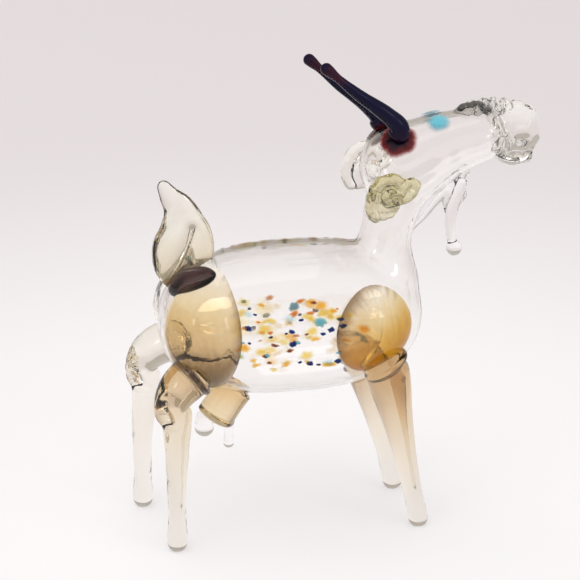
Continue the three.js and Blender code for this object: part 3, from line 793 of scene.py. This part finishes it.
def frit_glass(name, core, rim, soft=0.5, strength=1.0, clearness=0.7):
    """Coloured glass that melted into the clear, dense in the middle and thinning out at the rim."""
    finish = bpy.data.materials.new(name)
    finish.use_nodes = True
    nodes, links = finish.node_tree.nodes, finish.node_tree.links
    surface = nodes["Principled BSDF"]
    surface.inputs["Roughness"].default_value = 0.2
    surface.inputs["IOR"].default_value = 1.3
    surface.inputs["Transmission Weight"].default_value = clearness
    melt = nodes.new("ShaderNodeAttribute")
    melt.attribute_name = "melt"
    place = nodes.new("ShaderNodeTexCoord")
    grain = nodes.new("ShaderNodeTexNoise")
    grain.inputs["Scale"].default_value = 900
    grain.inputs["Detail"].default_value = 3
    mottle = nodes.new("ShaderNodeMath")
    mottle.operation = "MULTIPLY_ADD"
    mottle.inputs[1].default_value = 0.5
    mottle.inputs[2].default_value = -0.25
    depth = nodes.new("ShaderNodeMath")
    depth.operation = "ADD"
    dense = nodes.new("ShaderNodeMapRange")
    dense.inputs["From Max"].default_value = 0.6
    colour = nodes.new("ShaderNodeMix")
    colour.data_type = "RGBA"
    colour.inputs["A"].default_value = (*rim, 1)
    colour.inputs["B"].default_value = (*core, 1)
    thin = nodes.new("ShaderNodeMapRange")
    thin.interpolation_type = "SMOOTHSTEP"
    thin.inputs["From Min"].default_value = 0.02
    thin.inputs["From Max"].default_value = soft
    thin.inputs["To Max"].default_value = strength
    links.new(place.outputs["Object"], grain.inputs["Vector"])
    links.new(grain.outputs["Fac"], mottle.inputs[0])
    links.new(melt.outputs["Fac"], depth.inputs[0])
    links.new(mottle.outputs["Value"], depth.inputs[1])
    links.new(depth.outputs["Value"], dense.inputs["Value"])
    links.new(dense.outputs["Result"], colour.inputs["Factor"])
    links.new(colour.outputs["Result"], surface.inputs["Base Color"])
    links.new(melt.outputs["Fac"], thin.inputs["Value"])
    links.new(thin.outputs["Result"], surface.inputs["Alpha"])
    return finish


root_glass = frit_glass("horn_root_burgundy", (0.006, 0.002, 0.012), BURGUNDY, soft=0.35, clearness=0.6)
for name, side in SIDES.items():
    node = f"{name}_horn"
    low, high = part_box(node)
    tip = Vector((low.x + 0.2 * MM, (low.y + high.y) / 2, high.z - 0.6 * MM))
    horn_root = Vector((high.x - 3.6 * MM, tip.y, low.z + 3.4 * MM))
    root, facing, *_ = skin_tree.find_nearest(horn_root)
    stem = horn_root + Vector((0.5, 0, 2.1)) * MM
    bend = stem.lerp(tip, 0.16) + Vector((0.3, 0, 0.4)) * MM
    horn_pull = Pull(root - facing * 0.4 * MM, stem, bend, stem.lerp(tip, 0.55), tip)
    horn_widths = (6.2, 4.5, 4.0, 3.6, 3.3, 3.0, 2.7, 2.5, 2.2, 1.9, 1.8, 2.4, 2.6)
    form = settle(drawn(horn_pull, horn_widths, rings=120), skin_tree)
    glass_piece(f"{node}_rod", form, horn_glass, "violet_glass", node)
    fringe = melted_patch(root, 9.4, 9.4, 0.5, uneven=0.12, seed=side, streaks=0.25, sides=96, rings=32)
    glass_piece(f"{node}_root", fringe, root_glass, "violet_glass")


# The ears are leaves of pale olive rod, each on a short root that is fused to the skull. The tongs rolled
# the rear edge over into a scroll and folded the front edge into a small loop, on the outer face of a
# thin leaf.
FINE_GRAIN = 0.2 * MM
EAR_MARKS = {"right": 0.28, "left": 0.1}
EAR_LIFT = 0.4
EAR_LEAF = ((5.6, 9.4, -1.4), (4.6, 5.6, -0.5), (3.0, 2.2, 0))
EAR_RIM = (
    (2.6, 2.0, 0.2),
    (1.3, 5.0, 0.6),
    (1.8, 8.4, 0.8),
    (3.8, 10.8, 0.8),
    (6.2, 11.0, 0.9),
    (7.4, 9.4, 1.1),
    (6.4, 7.9, 1.3),
    (4.8, 8.4, 1.3),
)
EAR_LOOP = (
    (6.0, 6.2, 0.3),
    (8.4, 6.8, 0.6),
    (10.2, 8.4, 0.7),
    (10.3, 10.0, 0.7),
    (8.9, 10.2, 0.7),
    (7.9, 8.6, 0.6),
    (7.2, 7.4, 0.5),
)
ear_glass = {
    "right": flame_glass(
        "olive_glass",
        ((69, (0.92, 0.89, 0.72)), (81, (0.82, 0.77, 0.52))),
        (0.62, 0.57, 0.3),
        0.11,
    ),
    "left": flame_glass("pale_olive_glass", ((69, (0.98, 0.97, 0.94)), (81, (0.96, 0.95, 0.88)))),
}
for name, side in SIDES.items():
    node = f"{name}_ear"
    leaf_places, rim_places, loop_places = (
        [on(node, ahead, rise, side * (lift + EAR_LIFT)) for ahead, rise, lift in route]
        for route in (EAR_LEAF, EAR_RIM, EAR_LOOP)
    )
    leaf_root = leaf_places[1]
    leaf = drawn(Pull(*leaf_places), (5.4, 6.6, 6.0, 3.6), flat=0.17)
    rim = drawn(Pull(*rim_places), (2.2, 2.6, 2.8, 2.9, 2.8, 2.6, 2.3, 1.9), rings=120)
    loop = drawn(Pull(*loop_places), (1.8, 2.0, 2.1, 2.2, 2.1, 1.9, 1.5), rings=96)
    skin_spot = skin_tree.find_nearest(leaf_root)[0]
    half_root = Vector((1.9 * MM, (leaf_root - skin_spot).length / 2 + 0.6 * MM, 1.9 * MM))
    middle = leaf_root.lerp(skin_spot, 0.5)
    ear_root = blown(middle - half_root, middle + half_root, 2.2)
    ear = melted([leaf, rim, loop, ear_root], FINE_GRAIN, ROD_FLOW)
    form = tooled(ear, 1.2, EAR_MARKS[name])
    form = settle(form, skin_tree)
    glass_piece(f"{node}_scroll", form, ear_glass[name], "olive_glass", node)


# The eyes are dots of turquoise rod. Each was touched on to the hot face and left to melt nearly flush. Its
# middle is painted lighter as a painted highlight, against a deeper turquoise rim.
# painted highlight: the lighter middle of each eye
EYE_PAINTED_HIGHLIGHT_CORE = (0.20, 0.66, 0.80)
EYE_RIM = (0.09, 0.50, 0.68)
eye_glass = frit_glass("turquoise_glass", EYE_PAINTED_HIGHLIGHT_CORE, EYE_RIM, soft=0.75, clearness=0.35)
for name, side in SIDES.items():
    node = f"{name}_eye"
    low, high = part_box(node)
    form = melted_patch((low + high) / 2, 5.8, 5.6, 0.6, uneven=0.12, seed=side, sides=48, rings=24)
    glass_piece(f"{node}_dot", form, eye_glass, "turquoise_glass", node)


# The beard is a web of clear glass, fused along the jaw in a thin line and pinched flat. It was drawn down
# to a thread that ends in a ball.
jaw = Pull(
    on("beard", -5.4, 6.6),
    on("beard", -2.8, 9.2),
    on("beard", -0.2, 12.4),
    on("beard", 3.5, 16.1),
    on("beard", 6.8, 19.3),
)
web = Pull(on("beard", 4.2, 16.2), on("beard", 3.4, 12.4), on("beard", 3.1, 8.4))
thread = Pull(
    on("beard", 5.6, 17.6),
    on("beard", 4.3, 13.6),
    on("beard", 3.3, 10.6),
    on("beard", 3.1, 6.8),
    on("beard", 3.8, 1.4),
)
beard_form = melted(
    [
        drawn(jaw, (0.8, 1.2, 1.6, 1.8, 1.6), rings=96),
        drawn(web, (7.0, 5.8, 3.8, 2.4), flat=0.36),
        drawn(thread, (2.4, 2.9, 2.9, 2.4, 2.1, 2.0), rings=96),
        blown(on("beard", 2.3, 0, -1.7), on("beard", 5.7, 3.4, 1.7), 2),
    ],
    FINE_GRAIN,
    ROD_FLOW,
)
glass_piece("beard_drip", settle(beard_form, skin_tree), clear_glass, "clear_glass", "beard")


# Chips and crumbs of coloured glass were rolled on to the flanks while hot, and melted nearly flush.
# Crumbs are the finer grains between the chips. Haze is where the glass ran thin, and on the left flank
# the frit goes up to the crest of the back.
UNEVEN = 0.5

# Each colour of frit has a core and a rim colour, a size in millimetres, its height for a width of 1,
# the share of it that is rim, and how clear it is.
FRIT = {
    "orange_chip": ((1.0, 0.52, 0.06), (1.0, 0.82, 0.42), 3.4, 0.6, 0.9, 0.92),
    "navy_chip": ((0.008, 0.022, 0.15), (0.06, 0.14, 0.42), 2.0, 0.55, 0.35, 0.3),
    "yellow_chip": ((1.0, 0.76, 0.20), (1.0, 0.90, 0.55), 4.0, 0.62, 0.9, 0.92),
    "turquoise_chip": ((0.20, 0.58, 0.72), (0.45, 0.80, 0.86), 3.1, 0.95, 0.5, 0.4),
    "brown_chip": ((0.26, 0.06, 0.03), (0.70, 0.34, 0.20), 2.2, 0.5, 0.6, 0.5),
    "cream_chip": ((1.0, 0.89, 0.70), (1.0, 0.95, 0.86), 4.2, 0.6, 0.9, 0.92),
    "red_orange_chip": ((0.88, 0.27, 0.04), (1.0, 0.68, 0.30), 2.8, 0.6, 0.8, 0.7),
}
frit = {
    slot: frit_glass(slot.replace("chip", "frit"), core, rim, soft=soft, clearness=clearness)
    for slot, (core, rim, _, _, soft, clearness) in FRIT.items()
}
haze = {}
for slot in ("orange_chip", "yellow_chip", "cream_chip", "turquoise_chip"):
    core, rim, *_ = FRIT[slot]
    name = slot.replace("chip", "haze")
    haze[slot] = frit_glass(name, core, rim, soft=1.0, strength=0.4, clearness=0.95)
draw = random.Random(7)
slot_of = {part["node"]: part["material_slot"] for part in frame["record"]["subparts"]}
for node, slot in slot_of.items():
    if "_chip_" in node:
        low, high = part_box(node)
        _, _, size, shape, *_ = FRIT[slot]
        width = size * draw.uniform(0.85, 1.15)
        height = width * shape * draw.uniform(0.85, 1.15)
        lean = draw.uniform(-0.3, 0.3)
        form = melted_patch((low + high) / 2, width, height, 0.3, lean, UNEVEN, draw.random() * 9)
        glass_piece(f"{node}_fleck", form, frit[slot], slot, node)

# Each row of crumbs has a colour, a finish, a count for a full band and a size in millimetres.
CRUMBS = (
    ("orange_chip", frit, 9, 3.3),
    ("navy_chip", frit, 9, 1.5),
    ("yellow_chip", frit, 9, 3.8),
    ("turquoise_chip", frit, 3, 1.5),
    ("brown_chip", frit, 4, 1.3),
    ("cream_chip", frit, 5, 3.2),
    ("red_orange_chip", frit, 4, 1.8),
    ("orange_chip", haze, 3, 4.6),
    ("yellow_chip", haze, 6, 5.6),
    ("cream_chip", haze, 3, 6.0),
    ("turquoise_chip", haze, 2, 3.6),
)
FLANK_MIDDLE = Vector((-11.6, 0, 47.2)) * MM
FLANK_LENGTH = 22 * MM
# Each band is a side of the goat, its share of the crumbs, its lowest and highest roll in degrees, and
# how far along the flank it goes.
BANDS = ((-1, 1.5, -28, 34, 1.25), (1, 0.4, -52, -4, 1.0), (1, 1.2, 64, 84, 1.5))
for slot, finishes, count, size in CRUMBS:
    crumbs = bmesh.new()
    scratch = bpy.data.meshes.new("crumb")
    for side, share, foot, top, length in BANDS:
        for _ in range(round(count * share)):
            tall = draw.random()
            roll = math.radians(foot + (top - foot) * tall)
            ahead = draw.uniform(-0.5, 0.5) * FLANK_LENGTH * length * (1.15 - abs(tall - 0.5))
            out = Vector((0, side * math.cos(roll), math.sin(roll)))
            middle = FLANK_MIDDLE + Vector((ahead, 0, 0))
            spot, *_ = skin_tree.ray_cast(middle + out * FLANK_LENGTH * 2, -out)
            width = size * draw.uniform(0.6, 1.4)
            height = width * draw.uniform(0.4, 0.75)
            lean = draw.uniform(-0.35, 0.35)
            seed = draw.random() * 9
            crumb = melted_patch(spot, width, height, 0.2, lean, UNEVEN, seed, sides=14, rings=8)
            crumb.to_mesh(scratch)
            crumb.free()
            crumbs.from_mesh(scratch)
    glass_piece(finishes[slot].name + "_crumbs", crumbs, finishes[slot], slot)
    bpy.data.meshes.remove(scratch)


# The table is a sheet of white paper in a room that is pale on the camera's side and duller behind, so that
# the glass gets dark outlines. A wide panel overhead gives the faint shadow, and two soft boxes beside
# the camera give the highlights.
PAPER = (0.50, 0.49, 0.495)
GLARE_NEAR = (0.485, 0.475, 0.48)
GLARE_FAR = (0.28, 0.245, 0.245)
floor_mesh = bpy.data.meshes.new("table")
floor_form = bmesh.new()
bmesh.ops.create_circle(floor_form, cap_ends=True, segments=96, radius=4)
floor_form.to_mesh(floor_mesh)
floor_form.free()
floor = bpy.data.objects.new("table", floor_mesh)
bpy.context.scene.collection.objects.link(floor)
paper = bpy.data.materials.new("paper")
paper.use_nodes = True
paper_nodes, paper_links = paper.node_tree.nodes, paper.node_tree.links
paper_surface = paper_nodes["Principled BSDF"]
paper_surface.inputs["Base Color"].default_value = (*PAPER, 1)
paper_surface.inputs["Roughness"].default_value = 0.9
paper_surface.inputs["Specular IOR Level"].default_value = 0
# Painted light: to camera, glossy and transmission rays the paper glows, brightest near the goat and duller
# further off.
paper_place = paper_nodes.new("ShaderNodeTexCoord")
paper_reach = paper_nodes.new("ShaderNodeVectorMath")
paper_reach.operation = "LENGTH"
paper_fade = paper_nodes.new("ShaderNodeMapRange")
paper_fade.interpolation_type = "SMOOTHSTEP"
paper_fade.inputs["From Min"].default_value = 0.03
paper_fade.inputs["From Max"].default_value = 0.3
paper_mix = paper_nodes.new("ShaderNodeMix")
paper_mix.data_type = "RGBA"
paper_mix.inputs["A"].default_value = (*GLARE_NEAR, 1)
paper_mix.inputs["B"].default_value = (*GLARE_FAR, 1)
paper_ray = paper_nodes.new("ShaderNodeLightPath")
paper_seen = paper_nodes.new("ShaderNodeMath")
paper_seen.operation = "MAXIMUM"
paper_shown = paper_nodes.new("ShaderNodeMath")
paper_shown.operation = "MAXIMUM"
paper_links.new(paper_place.outputs["Object"], paper_reach.inputs[0])
paper_links.new(paper_reach.outputs["Value"], paper_fade.inputs["Value"])
paper_links.new(paper_fade.outputs["Result"], paper_mix.inputs["Factor"])
paper_links.new(paper_mix.outputs["Result"], paper_surface.inputs["Emission Color"])
paper_links.new(paper_ray.outputs["Is Camera Ray"], paper_seen.inputs[0])
paper_links.new(paper_ray.outputs["Is Glossy Ray"], paper_seen.inputs[1])
paper_links.new(paper_seen.outputs["Value"], paper_shown.inputs[0])
paper_links.new(paper_ray.outputs["Is Transmission Ray"], paper_shown.inputs[1])
paper_links.new(paper_shown.outputs["Value"], paper_surface.inputs["Emission Strength"])
floor_mesh.materials.append(paper)


def panel(name, place, aim, width, height, watts):
    """A soft light panel, turned towards a point."""
    lamp = bpy.data.lights.new(name, "AREA")
    lamp.shape = "RECTANGLE"
    lamp.size, lamp.size_y = width, height
    lamp.energy = watts
    light = bpy.data.objects.new(name, lamp)
    light.location = place
    light.rotation_mode = "QUATERNION"
    light.rotation_quaternion = (Vector(aim) - Vector(place)).to_track_quat("-Z", "Y")
    bpy.context.scene.collection.objects.link(light)
    return light


overhead = panel("overhead_panel", (-0.3, 0.1, 1.3), (0, 0.1, 0), 1.6, 1.4, 9)
overhead.visible_glossy = False
panel("left_box", (-0.8, -0.8, 0.5), (0, 0, 0.05), 0.16, 0.3, 0.6)
panel("right_box", (0.75, -0.8, 0.45), (0, 0, 0.05), 0.16, 0.3, 0.6)

world = bpy.data.worlds.new("room")
bpy.context.scene.world = world
world.use_nodes = True
room_nodes, room_links = world.node_tree.nodes, world.node_tree.links
room = room_nodes["Background"]
room_way = room_nodes.new("ShaderNodeTexCoord")
room_split = room_nodes.new("ShaderNodeSeparateXYZ")
room_height = room_nodes.new("ShaderNodeValToRGB")
room_height.color_ramp.elements[0].color = (0.46, 0.42, 0.37, 1)
room_height.color_ramp.elements[1].color = (0.36, 0.35, 0.35, 1)
room_height.color_ramp.elements.new(0.62).color = (0.52, 0.49, 0.46, 1)
room_height.color_ramp.elements.new(0.86).color = (0.38, 0.37, 0.36, 1)
room_front = room_nodes.new("ShaderNodeMapRange")
room_front.interpolation_type = "SMOOTHSTEP"
room_front.inputs["From Min"].default_value = 0.05
room_front.inputs["From Max"].default_value = -0.45
room_mix = room_nodes.new("ShaderNodeMix")
room_mix.data_type = "RGBA"
room_mix.inputs["B"].default_value = (1.0, 0.98, 0.98, 1)
room_links.new(room_way.outputs["Generated"], room_split.inputs["Vector"])
room_links.new(room_split.outputs["Z"], room_height.inputs["Fac"])
room_links.new(room_split.outputs["Y"], room_front.inputs["Value"])
room_links.new(room_front.outputs["Result"], room_mix.inputs["Factor"])
room_links.new(room_height.outputs["Color"], room_mix.inputs["A"])
room_links.new(room_mix.outputs["Result"], room.inputs["Color"])


# The camera looks at the goat's right side from a little behind and above. It stands half a metre away
# and has a long lens, so that the near and far legs keep nearly the same scale.
CAMERA_TURN = math.radians(-11.5)
CAMERA_RISE = math.radians(20.5)
CAMERA_DISTANCE = 0.5
CAMERA_LENS = 144.7
aim = Vector((-8.925, 3.9, 51.5)) * MM
back = Vector((
    math.sin(CAMERA_TURN) * math.cos(CAMERA_RISE),
    -math.cos(CAMERA_TURN) * math.cos(CAMERA_RISE),
    math.sin(CAMERA_RISE),
))
lens = bpy.data.cameras.new("camera")
lens.lens = CAMERA_LENS
lens.sensor_width = 36
lens.clip_start = 0.01
camera = bpy.data.objects.new("camera", lens)
camera.location = aim + back * CAMERA_DISTANCE
camera.rotation_mode = "QUATERNION"
camera.rotation_quaternion = (-back).to_track_quat("-Z", "Y")
bpy.context.scene.collection.objects.link(camera)
bpy.context.scene.camera = camera
bpy.context.scene.view_settings.view_transform = "Standard"
bpy.context.scene.cycles.max_bounces = 28
bpy.context.scene.cycles.transmission_bounces = 28
bpy.context.scene.cycles.transparent_max_bounces = 32
